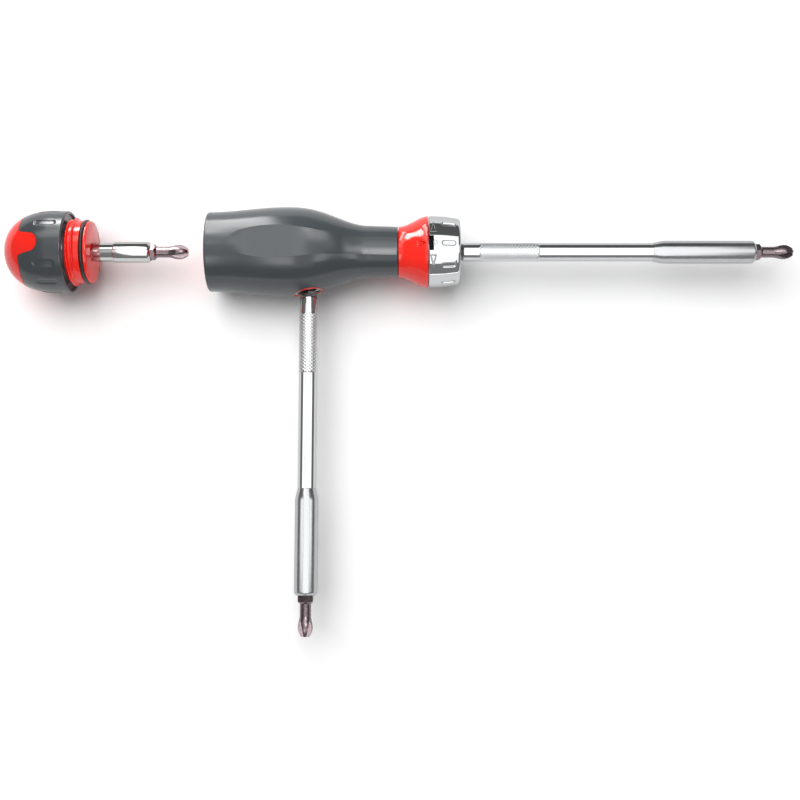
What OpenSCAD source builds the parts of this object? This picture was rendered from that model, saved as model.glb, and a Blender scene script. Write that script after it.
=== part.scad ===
// Ratchet screwdriver with a side drive for T-handle use and a screw-off cap that is a stubby driver.
// X runs along the tool from the handle's open mouth (x = 0) to the front bit, the side blade
// points along -Y, and +Z is up. All sizes are in millimetres.

/* [Handle] */
// Length of the soft grip from the mouth to the red collar
grip_len = 83.1; // [80:0.1:90]
// Outer diameter of the grip at the mouth
mouth_d = 34.8; // [34.6:0.1:37]
// Greatest outer diameter of the grip
belly_d = 39.2; // [38.4:0.1:44]
// Distance of the greatest diameter from the mouth
belly_x = 34.7; // [32:0.1:37]
// Outer diameter of the narrow neck
neck_d = 23; // [22.8:0.1:25]
// Length of the straight neck behind the collar
neck_len = 12.6; // [10:0.1:14]
// Length of the flared red collar
collar_len = 13.1; // [12.6:0.1:15]
// Outer diameter of the collar at its front
collar_d = 31.5; // [31.2:0.1:34]
// Thickness of the soft overmould on the belly and neck
skin = 2.1; // [1.6:0.1:2.3]
// Thickness of the soft overmould at the mouth
skin_mouth = 1; // [0.8:0.1:1.2]
// Half angle of each flat where it is widest on the belly
leaf_half = 21.8; // [16:0.1:22]
// Half angle of each flat at its waist behind the neck
waist_half = 17.3; // [12:0.1:20]
// Half angle of each flat at the collar
neck_half = 21.4; // [14:0.1:22]

/* [Side drive] */
// Distance of the side drive from the mouth
side_x = 44.1; // [43.6:0.1:46]
// Outer diameter of the red boss round the side socket
boss_d = 12.8; // [12.4:0.1:13.4]
// Depth of the boss's rim below the crown of the grip beside it
boss_drop = 0.8; // [0.5:0.1:1.2]
// Outer diameter of the steel side socket
side_socket_d = 11.6; // [11:0.1:11.8]
// Distance of the side socket's face from the tool's axis
side_face = 16.2; // [15.6:0.1:16.6]
// Width of the shallow cup round the hole of the side drive
cup_d = 10; // [9:0.1:10.6]
// Distance of the side blade's shoulder from the tool's axis
side_out = 19.6; // [19.4:0.1:20.2]

/* [Blade] */
// Width across flats of the hex drives and bits
hex_af = 6.35; // [6:0.05:6.5]
// Diameter of the blade's shaft
shaft_d = 8; // [7.4:0.1:8.6]
// Diameter of the knurled band
knurl_d = 8.4; // [8:0.1:9]
// Distance of the knurled band from the shoulder
knurl_x = 8.6; // [5:0.1:12]
// Length of the knurled band
knurl_len = 25.8; // [15:0.1:40]
// Length of the shaft from the shoulder to the holder
shaft_len = 84.5; // [70:0.5:120]
// Length of the hex shank behind the shoulder
shank_len = 11; // [9.5:0.1:11.2]
// Diameter of the bit holder
holder_d = 10; // [9.6:0.1:12]
// Length of the bit holder with its taper
holder_len = 45.1; // [40:0.1:60]
// Length of the taper from the shaft up to the holder
taper_len = 4.4; // [2:0.1:8]

/* [Bits] */
// Full length of a bit
bit_len = 25; // [24:0.1:27]
// How far the front bit stands out of its holder
front_bit_out = 16.7; // [16:0.1:17.5]
// How far the side bit stands out of its holder
side_bit_out = 17.2; // [16:0.1:17.5]
// How far the stub bit stands out of its holder
stub_bit_out = 16.4; // [16:0.1:17.5]
// Diameter of the bit's neck
bit_neck_d = 4.8; // [4:0.1:5.4]
// Greatest diameter of the bit's cross head
bit_head_d = 6.3; // [5.4:0.1:6.3]

/* [Ratchet] */
// Number of ratchet teeth
teeth = 24; // [16:1:36]
// Height of the ratchet teeth
tooth_h = 0.8; // [0.5:0.1:1]
// Gap from a pawl's tip to the tooth tips in the middle position
pawl_gap = 0.5; // [0.5:0.05:0.7]
// Turn of the selector ring to either side
selector_turn = 25; // [15:1:28]

/* [Selector ring] */
// Length of the selector ring
ring_len = 13.7; // [13.5:0.1:15]
// Greatest outer diameter of the selector ring
ring_d = 31.4; // [31:0.1:34]
// Number of pill-shaped recesses
ring_pills = 10; // [6:1:12]
// Length of a recess
ring_pill_len = 6; // [3:0.1:7]
// Width of a recess
ring_pill_w = 2; // [1:0.1:3]

/* [Cap] */
// Distance of the cap's rim from the mouth as it lies off the handle
cap_off = 60.6; // [55:0.1:70]
// Length of the domed cap
cap_len = 28.7; // [26:0.1:34]
// Greatest outer diameter of the cap
cap_d = 36; // [35.6:0.1:38]
// Length of the screw plug
plug_len = 9.5; // [9:0.1:10.5]
// Diameter of the plug between its thread and its seal
plug_d = 27.5; // [26.8:0.1:27.6]
// Outer diameter of the plug's thread
thread_d = 30; // [29:0.1:30.2]
// Pitch of the plug's thread
thread_pitch = 2.3; // [1.8:0.1:2.4]
// Outer diameter of the seal ring
seal_d = 28.4; // [28.2:0.1:28.5]
// Thickness of the seal ring
seal_w = 1.6; // [1.2:0.1:1.8]
// Reach of the red dome from the apex down to the grey overmould
dome_len = 9.6; // [8:0.1:12]
// Length of the three red lobes
lobe_len = 8.9; // [5:0.1:11]
// Half width of a lobe at its root
lobe_w = 4.5; // [4:0.1:5.5]
// Thickness of the soft lip over the front edge of the cap
rim_lip = 1.2; // [0.8:0.1:2]

/* [Stubby holder] */
// Length of hex shank that shows in front of the plug
stub_hex_len = 1.8; // [1:0.1:3]
// Length of the thinner sleeve
stub_neck_len = 7.5; // [5:0.1:9]
// Diameter of the thinner sleeve
stub_neck_d = 8.2; // [8:0.1:8.6]
// Diameter of the thicker sleeve
stub_d = 9.2; // [9:0.1:10]
// Length of the thicker sleeve with its chamfer
stub_len = 16.1; // [15:0.1:17]
// Length of the stub's shank inside the plug
stub_shank = 12; // [10:0.1:13]

/* [Clearances] */
// Gap of pressed, moulded and glued seats
seat_gap = 0.05; // [0.02:0.01:0.08]
// Gap of turning and sliding fits, on the radius
run_gap = 0.05; // [0.02:0.01:0.08]
// Gap between faces that pass each other
free_gap = 0.3; // [0.25:0.05:0.4]

/* [Hidden] */
$fn = 64;
e = 0.5;
root3 = sqrt(3);

mouth_r = mouth_d / 2;
belly_r = belly_d / 2;
neck_r = neck_d / 2;
neck_x = grip_len - neck_len;
neck_front_r = neck_r - 0.4;
collar_r = collar_d / 2;
core_front = grip_len + collar_len;

// a soft step from 0 to 1
function blend(s) = (1 - cos(180 * min(max(s, 0), 1))) / 2;
// outer radius of the round grip at a distance x from the mouth
function rear_r(x) = mouth_r + (belly_r - mouth_r) * blend(x / belly_x);
function front_r(x) = belly_r + (neck_r - belly_r) * blend(pow((x - belly_x) / (neck_x - belly_x), 1.25));
function draft_r(x) = neck_r + (neck_front_r - neck_r) * (x - neck_x) / neck_len;
function grip_r(x) = x < belly_x ? rear_r(x) : x < neck_x ? front_r(x) : draft_r(x);
// radius of the hard core under the grip, and of the flared collar in front of it
function core_r(x) = grip_r(x) - skin_mouth - (skin - skin_mouth) * blend((x - 7) / 16);
function flare_r(x) = neck_front_r
    + (collar_r + 0.1 - neck_front_r) * blend((x - grip_len) / (1.07 * collar_len));
// half angle of the flats along the grip: open at the rear, widest on the belly, then a waist
flat_x0 = 8.5;
flat_x1 = 29;
waist_x = 51;
function open_h(x) = leaf_half * sqrt(max(1 - pow((flat_x1 - x) / (flat_x1 - flat_x0), 2), 0));
function belly_h(x) = leaf_half + (waist_half - leaf_half) * blend((x - flat_x1) / (waist_x - flat_x1));
function front_h(x) = waist_half + (neck_half - waist_half) * blend((x - waist_x) / (grip_len + 6 - waist_x));
function flat_h(x) = x < flat_x1 ? open_h(x) : x < waist_x ? belly_h(x) : front_h(x);

// hex sockets, with the radius over their corners
socket_af = hex_af + 2 * run_gap;
socket_r = socket_af / root3;
hex_r = hex_af / root3;

// side drive
boss_r = boss_d / 2;
side_socket_r = side_socket_d / 2;
side_shoulder = side_out;
side_hole = side_shoulder - shank_len - 0.2;
side_magnet_t = 1.4;
side_floor = side_hole - side_magnet_t - 0.8;

// ratchet, sharing the room between the blade's shank and the outside of the ring
spindle_r = socket_r + 0.4 * hex_r;
room = ring_d / 2 - spindle_r;
gear_r = spindle_r + 0.134 * room;
chamber_r = spindle_r + 0.172 * room;
bush_r = spindle_r + 0.267 * room;
pin_r = 0.076 * room;
pin_at = spindle_r + 0.4 * room;
pin_seat = 2.75 * pin_r;
drum_r = spindle_r + 0.629 * room;
ring_bore = drum_r + 2 * run_gap;
tail_r = bush_r;
tail_bore = spindle_r + 0.172 * room;
groove = 0.134 * spindle_r;
spring_t = 0.029 * room;
spring_r = pin_at + 0.095 * room;
detent_r = pin_at + 0.124 * room;
bump_r = 0.071 * room;
tail_room = 0.095 * room;

// stations along the tool, from the collar's front face
ring_x = core_front + free_gap;
ring_front = ring_x + ring_len;
ring_wall = 0.095 * ring_len;
drum_x0 = core_front - 0.435 * collar_len;
drum_x1 = ring_front - ring_wall - free_gap;
bush_x0 = drum_x1 - 0.234 * ring_len;
gear_x1 = bush_x0 - 0.044 * ring_len;
gear_x0 = core_front + 0.073 * ring_len;
gear_w = gear_x1 - gear_x0;
chamber_x0 = gear_x0 - free_gap - 2 * run_gap;
journal_x0 = core_front - 0.893 * collar_len;
tail_x0 = core_front - 1.603 * collar_len;
spindle_x0 = journal_x0 - 0.229 * collar_len;
clip_w = 0.076 * collar_len;
clip_x = journal_x0 - 1.3 * clip_w;
spindle_x1 = ring_front - 0.2;
front_shoulder = ring_front + free_gap;
front_hole = front_shoulder - shank_len - free_gap;
front_magnet_t = 0.236 * shank_len;
snap_w = 0.058 * ring_len;
snap_x = drum_x1 - 1.9 * snap_w;

// the store inside the handle
thread_bore = thread_d / 2 + free_gap;
thread_depth = 6;
seal_bore = seal_d / 2 + run_gap;
seal_depth = 11;
store_r = plug_d / 2 - 0.8;
side_wall = 1.6;
store_x1 = side_x - side_socket_r - side_wall;
holder_bore = holder_d / 2 + 0.6;
holder_bore_x1 = side_x + side_socket_r + 3.2;
tip_bore = socket_r + free_gap;

// blade stations from the shoulder
shaft_r = shaft_d / 2;
knurl_r = knurl_d / 2;
holder_r = holder_d / 2;
spigot_r = 3;
spigot_len = 19;
bit_magnet_t = 4;
bit_seat = 0.5;
hex_depth = bit_len - min(front_bit_out, side_bit_out, stub_bit_out) + bit_seat;
blade_len = shaft_len + holder_len;

// cap stations from its rim, towards the plug's face
cap_r = cap_d / 2;
cap_skin = 2;
cap_side = 6.9;
dome_h = cap_len - cap_side;
dome_line = dome_len - cap_len;
function dome_r(t) = cap_r * pow(max(1 - pow(1 - t / dome_h, 2.15), 0), 1 / 2.3);
function cap_out(t) = t < dome_h ? dome_r(t) : cap_r - 0.15 * (t - dome_h) / cap_side;
thread_r = thread_d / 2;
plug_r = plug_d / 2;
seal_r = seal_d / 2 - seal_w / 2;
seal_at = plug_len - 2.2;
cap_socket_r = 5;
cap_socket_x1 = plug_len - 0.8;
cap_hole = plug_len - stub_shank - 0.2;
cap_magnet_t = 2;
cap_socket_x0 = cap_hole - cap_magnet_t - 0.8;
stub_end = plug_len + stub_hex_len + stub_neck_len + stub_len;

// places a piece drawn along Z on the tool's axis, with its own x on Y and its own y on Z
module on_axis(x) {
    translate([x, 0, 0]) rotate([90, 0, 90]) children();
}

// places a piece drawn along Z on the side drive's axis, which points along -Y
module on_side() {
    translate([side_x, 0, 0]) rotate([90, 0, 0]) children();
}

// a round piece between two stations along its own axis
module rod(r, z0, z1) {
    translate([0, 0, z0]) cylinder(r = r, h = z1 - z0);
}

// a hex prism between two stations, measured across its flats
module hex(af, z0, z1) {
    translate([0, 0, z0]) cylinder(r = af / root3, h = z1 - z0, $fn = 6);
}

// a flat-bottomed pill outline, long along x
module pill(len, w) {
    square([len - w, w], center = true);
    for (s = [-1, 1]) {
        translate([s * (len - w) / 2, 0]) circle(d = w, $fn = 24);
    }
}

// a solid swept through rings of points, with flat ends
module sweep(rings) {
    m = len(rings[0]);
    n = len(rings);
    pts = [for (r = rings) each r];
    sides = [for (i = [0 : n - 2], j = [0 : m - 1]) each [
        [i * m + j, i * m + (j + 1) % m, (i + 1) * m + j],
        [i * m + (j + 1) % m, (i + 1) * m + (j + 1) % m, (i + 1) * m + j]]];
    first = [for (j = [0 : m - 1]) m - 1 - j];
    last = [for (j = [0 : m - 1]) (n - 1) * m + j];
    polyhedron(points = pts, faces = concat([first], sides, [last]));
}

// the grip's three flats, each a run of strips from the belly to the collar
module flats() {
    line = [for (i = [0 : 26]) let (x = flat_x0 + (grip_len + 1 - flat_x0) * i / 26)
        [x, grip_r(x) * cos(flat_h(x))]];
    top = belly_r + 5;
    for (a = [0 : 120 : 240]) {
        rotate([a, 0, 0]) rotate([90, 0, 0]) linear_extrude(height = 20, center = true)
            polygon(concat([[flat_x0 - 1, top], [flat_x0 - 1, grip_r(flat_x0) + 0.3]], line,
                [[grip_len + 1, top]]));
    }
}

// a rod of the side drive from a station out to the boss's rim, which leans with the slope of the grip
module rim_rod(r, from, below) {
    lean = atan((grip_r(side_x - boss_r) - grip_r(side_x + boss_r)) / boss_d);
    on_side() difference() {
        rod(r, from, belly_r + 2);
        translate([0, 0, grip_r(side_x) - boss_drop - below]) rotate([0, lean, 0])
            translate([-belly_r, -belly_r, 0]) cube(2 * belly_r);
    }
}

module handle_core() {
    under = [for (i = [0 : 24]) let (x = grip_len * i / 24) [core_r(x), x]];
    flare = [for (i = [0 : 9]) let (x = grip_len + (collar_len - 0.4) * i / 9) [flare_r(x), x]];
    color("#e8301f") difference() {
        union() {
            on_axis(0) rotate_extrude() polygon(concat([[0, 0]], under, flare,
                [[collar_r - 0.35, core_front], [0, core_front]]));
            rim_rod(boss_r, core_r(side_x) - 4, 0);
        }
        on_axis(0) rod(thread_bore, -e, thread_depth);
        on_axis(0) rod(seal_bore, -e, seal_depth);
        on_axis(0) rod(store_r, -e, store_x1);
        on_axis(0) rod(holder_bore, -e, holder_bore_x1);
        on_axis(0) rod(tip_bore, -e, core_front + e);
        on_axis(0) rod(tail_r + seat_gap, tail_x0 - seat_gap, core_front + e);
        on_axis(0) rod(drum_r + seat_gap, drum_x0 - seat_gap, core_front + e);
        on_side() rod(side_socket_r + seat_gap, side_floor - seat_gap, belly_r + 2);
        // the pointer, a recessed triangle on the collar's top
        translate([core_front - 4.7, 0, collar_r - 2.1]) linear_extrude(height = 4)
            polygon([[0, -1.35], [3.5, 0], [0, 1.35]]);
    }
}

module handle_grip() {
    out = [for (i = [0 : 36]) let (x = (grip_len - seat_gap) * i / 36) [grip_r(x), x]];
    inside = [for (i = [24 : -1 : 0]) let (x = grip_len * i / 24)
        [core_r(x) + seat_gap, min(x, grip_len - seat_gap)]];
    color("#4b5254") difference() {
        on_axis(0) rotate_extrude() polygon(concat(out, inside));
        flats();
        on_side() rod(boss_r + seat_gap, 0, belly_r + 5);
    }
}

module side_socket() {
    color("#c9cbcc") difference() {
        rim_rod(side_socket_r, side_floor, 0.15);
        on_side() rod(cup_d / 2, side_face, belly_r + 2);
        on_side() hex(socket_af, side_hole, side_face + e);
        on_side() rod(2.5 + seat_gap, side_hole - side_magnet_t - seat_gap, side_hole + e);
        on_side() translate([0, 0, side_face - 0.6])
            cylinder(r1 = socket_r - 0.4, r2 = socket_r + 0.4, h = 0.8);
    }
}

module side_socket_magnet() {
    color("#8d9092") on_side() rod(2.5, side_hole - side_magnet_t, side_hole - seat_gap);
}

// the space that one pawl swings in, on the +Y side
module pawl_window() {
    outer = drum_r + 1.2;
    arc = [for (a = [-16 : 4 : 52]) [outer * cos(a), outer * sin(a)]];
    back = [for (a = [52 : -4 : -16]) [(gear_r - 0.5) * cos(a), (gear_r - 0.5) * sin(a)]];
    translate([0, 0, gear_x0 + 0.1]) linear_extrude(height = gear_w - 0.2)
        polygon(concat(arc, back));
}

// part of a ring between two radii and two angles, at a station along its axis
module ring_part(r0, r1, z0, z1, a0, a1) {
    rotate([0, 0, a0]) rotate_extrude(angle = a1 - a0)
        translate([r0, z0]) square([r1 - r0, z1 - z0]);
}

module ratchet_housing() {
    color("#9b9ea0") on_axis(0) difference() {
        union() {
            rod(tail_r, tail_x0, drum_x0 + e);
            rod(drum_r, drum_x0, drum_x1);
        }
        rod(tail_bore, tail_x0 - e, journal_x0);
        rod(spindle_r + run_gap, journal_x0 - e, chamber_x0 + e);
        rod(chamber_r, chamber_x0, bush_x0 + e);
        rod(bush_r + seat_gap, bush_x0, drum_x1 + e);
        pawl_window();
        mirror([1, 0, 0]) pawl_window();
        for (s = [-1, 1]) {
            translate([s * pin_at, 0, 0])
                rod(pin_r + seat_gap, chamber_x0 - pin_seat - 2 * seat_gap, drum_x1 + e);
        }
        ring_part(spring_r - free_gap, drum_r + e, gear_x0 + 0.34 * gear_w,
            gear_x0 + 0.66 * gear_w, 30, 150);
        ring_part(detent_r - bump_r - free_gap, drum_r + e, gear_x0 + 0.24 * gear_w,
            gear_x0 + 0.76 * gear_w, 232, 308);
        ring_part(drum_r - groove - 2 * seat_gap, drum_r + e, snap_x - seat_gap,
            snap_x + snap_w + seat_gap, 0, 360);
    }
}

module spindle_bush() {
    color("#b58a4a") on_axis(0) difference() {
        rod(bush_r, bush_x0 + seat_gap, drum_x1);
        rod(spindle_r + run_gap, bush_x0 - e, drum_x1 + e);
    }
}

module thrust_washer() {
    color("#a9acae") on_axis(0) difference() {
        rod(chamber_r - 0.2, gear_x1 + 0.15, bush_x0 - 0.1);
        rod(spindle_r + free_gap, gear_x1 - e, bush_x0 + e);
    }
}

module pawl_pin(s) {
    color("#b9bcbe") on_axis(0) translate([s * pin_at, 0, 0])
        rod(pin_r, chamber_x0 - pin_seat, drum_x1 - 0.1);
}

module pawl_pin_forward() {
    pawl_pin(1);
}

module pawl_pin_reverse() {
    pawl_pin(-1);
}

module pawl_spring() {
    color("#7f8486") on_axis(0)
        ring_part(spring_r, spring_r + spring_t, gear_x0 + 0.38 * gear_w, gear_x0 + 0.62 * gear_w, 34, 146);
}

module detent_spring() {
    color("#7f8486") on_axis(0) union() {
        ring_part(detent_r, detent_r + spring_t, gear_x0 + 0.28 * gear_w, gear_x0 + 0.72 * gear_w, 236, 304);
        translate([0, -detent_r, 0]) rod(bump_r, gear_x0 + 0.28 * gear_w, gear_x0 + 0.72 * gear_w);
    }
}

module ring_retainer() {
    color("#7f8486") on_axis(0)
        ring_part(drum_r - groove, drum_r + 0.7 * groove, snap_x, snap_x + snap_w, 105, 435);
}

module selector_ring() {
    shape = [for (i = [0 : 7]) let (x = 1.5 + (ring_len - 3) * i / 7)
        [ring_d / 2 - pow(i / 7, 2), ring_x + x]];
    nose = [for (a = [15 : 15 : 90])
        [ring_d / 2 - 2.2 + 1.2 * cos(a), ring_front - 1.5 + 1.5 * sin(a)]];
    notch_w = 2 * ring_d / 2 * sin(13.5);
    color("#d5d8da") difference() {
        on_axis(0) rotate_extrude() polygon(concat([[ring_bore, ring_x], [ring_d / 2 - 0.3, ring_x]],
            [[ring_d / 2, ring_x + 0.4]], shape, nose,
            [[spindle_r + 1.3, ring_front], [spindle_r + 1.3, ring_front - ring_wall],
            [ring_bore, ring_front - ring_wall]]));
        // room for the pawls' tails, the snap ring and the detent's bump
        for (a = [0, 180]) {
            on_axis(0) rotate([0, 0, a])
                ring_part(ring_bore - e, ring_bore + tail_room, ring_x + 0.7, gear_x1 + free_gap, -42, 42);
        }
        on_axis(0) ring_part(ring_bore - e, drum_r + 0.7 * groove + free_gap, snap_x - free_gap,
            snap_x + snap_w + free_gap, 0, 360);
        for (a = [-selector_turn, 0, selector_turn]) {
            on_axis(0) rotate([0, 0, a]) translate([0, -ring_bore, 0])
                rod(bump_r, gear_x0 + 0.24 * gear_w, gear_x0 + 0.76 * gear_w);
        }
        // pill-shaped recesses round the outside
        for (i = [0 : ring_pills - 1]) {
            rotate([360 * i / ring_pills, 0, 0])
                translate([ring_front - 2.2 - ring_pill_len / 2, 0, ring_d / 2 - 0.9])
                rotate([0, 4, 0]) linear_extrude(height = 4) pill(ring_pill_len, ring_pill_w);
        }
        // the notch over the pointer, the two direction arrows and the dot of the middle position
        translate([ring_x - 1, -notch_w / 2, ring_d / 2 - 1.8]) cube([3.2, notch_w, 5]);
        for (s = [-1, 1]) {
            rotate([s * 27, 0, 0]) translate([ring_x + 1, 0, ring_d / 2 - 0.5]) linear_extrude(height = 4)
                polygon([[0, s * 1.7], [1.7, -s * 2.2], [3.4, s * 1.7], [1.7, s * 0.6]]);
        }
        translate([ring_x + 3.6, 0, ring_d / 2 - 0.35]) cylinder(d = 1.4, h = 4);
    }
}

// a pawl on the +Y side: tip by the teeth, pivot on its pin and a tail out into the selector ring
module pawl() {
    tip = gear_r + pawl_gap;
    polar = [[tip, 36], [tip + 1.5, 40], [pin_at + 0.5, 22], [pin_at + 1.5, 8],
        [ring_bore - 0.2, 4.5], [ring_bore + tail_room / 2, 3], [ring_bore + tail_room / 2, -4],
        [pin_at + 1.3, -9],
        [pin_at - 0.8, -10], [pin_at - 1.5, 0], [pin_at - 1.6, 15]];
    translate([0, 0, gear_x0 + 0.5]) linear_extrude(height = gear_w - 1) difference() {
        polygon([for (p = polar) [p[0] * cos(p[1]), p[0] * sin(p[1])]]);
        translate([pin_at, 0]) circle(r = pin_r + run_gap);
    }
}

module pawl_forward() {
    color("#83888b") on_axis(0) pawl();
}

module pawl_reverse() {
    color("#83888b") on_axis(0) mirror([1, 0, 0]) pawl();
}

module ratchet_spindle() {
    step = 360 / teeth;
    wheel = [for (i = [0 : teeth - 1]) each [
        [gear_r * cos(i * step), gear_r * sin(i * step)],
        [(gear_r - tooth_h) * cos((i + 0.5) * step), (gear_r - tooth_h) * sin((i + 0.5) * step)]]];
    color("#a4a7a9") on_axis(0) difference() {
        union() {
            rod(spindle_r, spindle_x0, spindle_x1);
            translate([0, 0, gear_x0]) linear_extrude(height = gear_w) polygon(wheel);
        }
        hex(socket_af, front_hole, spindle_x1 + e);
        rod(2.5 + seat_gap, front_hole - front_magnet_t - seat_gap, front_hole + e);
        translate([0, 0, spindle_x1 - 0.6]) cylinder(r1 = socket_r - 0.4, r2 = socket_r + 0.4, h = 0.8);
        ring_part(spindle_r - groove, spindle_r + e, clip_x, clip_x + clip_w, 0, 360);
    }
}

module spindle_clip() {
    color("#7f8486") on_axis(0)
        ring_part(spindle_r - groove + seat_gap, spindle_r + 1.6 * groove, clip_x + seat_gap,
            clip_x + clip_w - seat_gap, 30, 330);
}

module spindle_magnet() {
    color("#8d9092") on_axis(0) rod(2.5, front_hole - front_magnet_t, front_hole - seat_gap);
}

// a blade's shaft with its hex shank, drawn along Z from its shoulder
module shaft() {
    fillet = [for (a = [0 : 15 : 90]) [shaft_r - 0.7 * (1 - sin(a)), 1.5 * (1 - cos(a))]];
    union() {
        rotate_extrude() polygon(concat([[0, 0]], fillet,
            [[shaft_r, knurl_x - 0.2], [knurl_r, knurl_x], [knurl_r, knurl_x + knurl_len],
            [shaft_r, knurl_x + knurl_len + 0.2], [shaft_r, shaft_len],
            [spigot_r, shaft_len], [spigot_r, shaft_len + spigot_len], [0, shaft_len + spigot_len]]));
        intersection() {
            hex(hex_af, -shank_len, e);
            translate([0, 0, -shank_len]) cylinder(r1 = hex_r - 0.8, r2 = hex_r - 0.8 + shank_len + 1,
                h = shank_len + 1);
        }
    }
}

// the bit holder pressed on the shaft, drawn along Z from the same shoulder
module holder() {
    difference() {
        rotate_extrude() polygon([[0, shaft_len + seat_gap], [shaft_r, shaft_len + seat_gap],
            [holder_r, shaft_len + taper_len], [holder_r, blade_len - 1], [holder_r - 0.9, blade_len],
            [0, blade_len]]);
        rod(spigot_r + seat_gap, shaft_len - e, shaft_len + spigot_len + 0.3);
        rod(3 + seat_gap, blade_len - hex_depth - bit_magnet_t - seat_gap, blade_len - hex_depth + e);
        hex(socket_af, blade_len - hex_depth, blade_len + e);
    }
}

module holder_magnet(end) {
    rod(3, end - hex_depth - bit_magnet_t, end - hex_depth - seat_gap);
}

// a cross-head bit, drawn along Z from the end of its hex
module bit() {
    neck = bit_neck_d / 2;
    head = bit_head_d / 2;
    swell = [for (i = [0 : 6]) [neck + (head - neck) * blend(i / 6), bit_len - 8.8 + 4.7 * i / 6]];
    difference() {
        union() {
            intersection() {
                hex(hex_af, 0, bit_len - 13.7);
                rotate_extrude() polygon([[0, 0], [hex_r - 0.7, 0], [hex_r, 0.7], [hex_r, bit_len - 14.8],
                    [neck, bit_len - 13.7], [0, bit_len - 13.7]]);
            }
            rotate_extrude() polygon(concat([[0, bit_len - 14], [neck, bit_len - 14]], swell,
                [[head, bit_len - 3.7], [head - 0.15, bit_len - 2.9], [head - 0.5, bit_len - 2.1],
                [head - 1.25, bit_len - 1.05], [head - 1.9, bit_len - 0.25], [head - 2.15, bit_len],
                [0, bit_len]]));
        }
        for (a = [0 : 90 : 270]) {
            rotate([0, 0, a]) translate([0.75, 0, bit_len]) rotate([0, -15, 0]) translate([0, 0, -10])
                rotate([0, 0, -45]) cube([6, 6, 14]);
        }
    }
}

module front_shaft() {
    color("#d2d5d7") on_axis(front_shoulder) shaft();
}

module front_holder() {
    color("#b4b8ba") on_axis(front_shoulder) holder();
}

module front_magnet() {
    color("#8d9092") on_axis(front_shoulder) holder_magnet(blade_len);
}

module front_bit() {
    color("#665a5c") on_axis(front_shoulder + blade_len + front_bit_out - bit_len) bit();
}

module side_shaft() {
    color("#d2d5d7") on_side() translate([0, 0, side_shoulder]) shaft();
}

module side_holder() {
    color("#b4b8ba") on_side() translate([0, 0, side_shoulder]) holder();
}

module side_magnet() {
    color("#8d9092") on_side() translate([0, 0, side_shoulder]) holder_magnet(blade_len);
}

module side_bit() {
    color("#665a5c") on_side() translate([0, 0, side_shoulder + blade_len + side_bit_out - bit_len]) bit();
}

// the cap's whole outside, drawn along Z with its rim at 0
module cap_outside() {
    curve = [for (i = [0 : 22]) let (t = dome_h * pow(i / 22, 1.7)) [cap_out(t), t - cap_len]];
    side = [for (i = [1 : 2]) let (t = dome_h + (cap_side - 0.6) * i / 2) [cap_out(t), t - cap_len]];
    rotate_extrude() polygon(concat(curve, side, [[cap_r - 0.7, 0], [0, 0]]));
}

// the cap's hard inside under the soft skin, blunt at the apex, from a station behind the rim to one at it
module cap_inside(gap, z1) {
    curve = [for (i = [6 : 22]) let (t = dome_h * pow(i / 22, 1.7))
        [cap_out(t) - cap_skin + gap, t - cap_len]];
    rotate_extrude() polygon(concat([[0, curve[0][1]]], curve,
        [[cap_r - cap_skin - 0.15 + gap, z1], [0, z1]]));
}

// length of a lobe at a share of its half width, with a round end
function finger(s) = lobe_len - lobe_w * (1 - sqrt(1 - pow(min(s, 1), 2)));

// where the cap shows its red core: the dome and three lobes with hollow flanks
module red_zone(gap) {
    line = dome_line - gap;
    dip = 0.6;
    lobe = [for (i = [-14 : 14]) let (s = 1.3 * abs(i) / 14)
        [1.3 * (lobe_w - gap) * i / 14, line - dip + (finger(s) + dip) * (1 - blend((s - 0.8) / 0.5))]];
    rod(cap_r + 5, -cap_len - 5, line);
    for (a = [0 : 120 : 240]) {
        rotate([0, 0, a]) translate([0, 2, 0]) rotate([-90, 0, 0]) linear_extrude(height = 30)
            polygon([for (p = concat([[lobe[0][0], line - 2]], lobe, [[lobe[28][0], line - 2]]))
                [p[0], -p[1]]]);
    }
}

// the plug's thread, one unbroken ridge with tapered ends
module thread() {
    n = 66;
    turns = 1.85;
    rings = [for (i = [0 : n]) let (a = 360 * turns * i / n, z = 1.1 + thread_pitch * turns * i / n,
        h = (thread_r - plug_r) * min(1, 0.2 + 5 * min(i, n - i) / n), r = plug_r - 0.3)
        [for (p = [[0, -0.85], [0.3 + h, -0.3], [0.3 + h, 0.3], [0, 0.85]])
            [(r + p[0]) * cos(a), (r + p[0]) * sin(a), z + p[1]]]];
    sweep(rings);
}

module cap_core() {
    color("#e8301f") on_axis(-cap_off) difference() {
        union() {
            cap_inside(0, -rim_lip);
            intersection() {
                cap_outside();
                red_zone(seat_gap);
            }
            difference() {
                rotate_extrude() polygon([[0, -rim_lip - e], [plug_r, -rim_lip - e], [plug_r, plug_len - 1.5],
                    [plug_r - 0.25, plug_len - 1.2], [plug_r - 0.25, plug_len - 0.4],
                    [plug_r - 0.65, plug_len], [0, plug_len]]);
                ring_part(seal_r - seal_w / 2 - seat_gap, plug_r + e, seal_at - seal_w / 2 - 0.1,
                    seal_at + seal_w / 2 + 0.1, 0, 360);
            }
            thread();
        }
        rod(cap_socket_r + seat_gap, cap_socket_x0 - seat_gap, cap_socket_x1 + seat_gap);
        hex(socket_af, cap_socket_x1, plug_len + e);
    }
}

module cap_grip() {
    color("#4b5254") on_axis(-cap_off) difference() {
        cap_outside();
        cap_inside(seat_gap, seat_gap - rim_lip);
        rod(thread_bore, -rim_lip, e);
        red_zone(0);
        for (a = [0 : 120 : 240], b = [30, 60, 90]) {
            rotate([0, 0, a + b]) translate([0, cap_r - 0.5, -7.8]) rotate([-90, 0, 0])
                linear_extrude(height = 5) rotate([0, 0, 90]) pill(9, 2.6);
        }
    }
}

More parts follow.
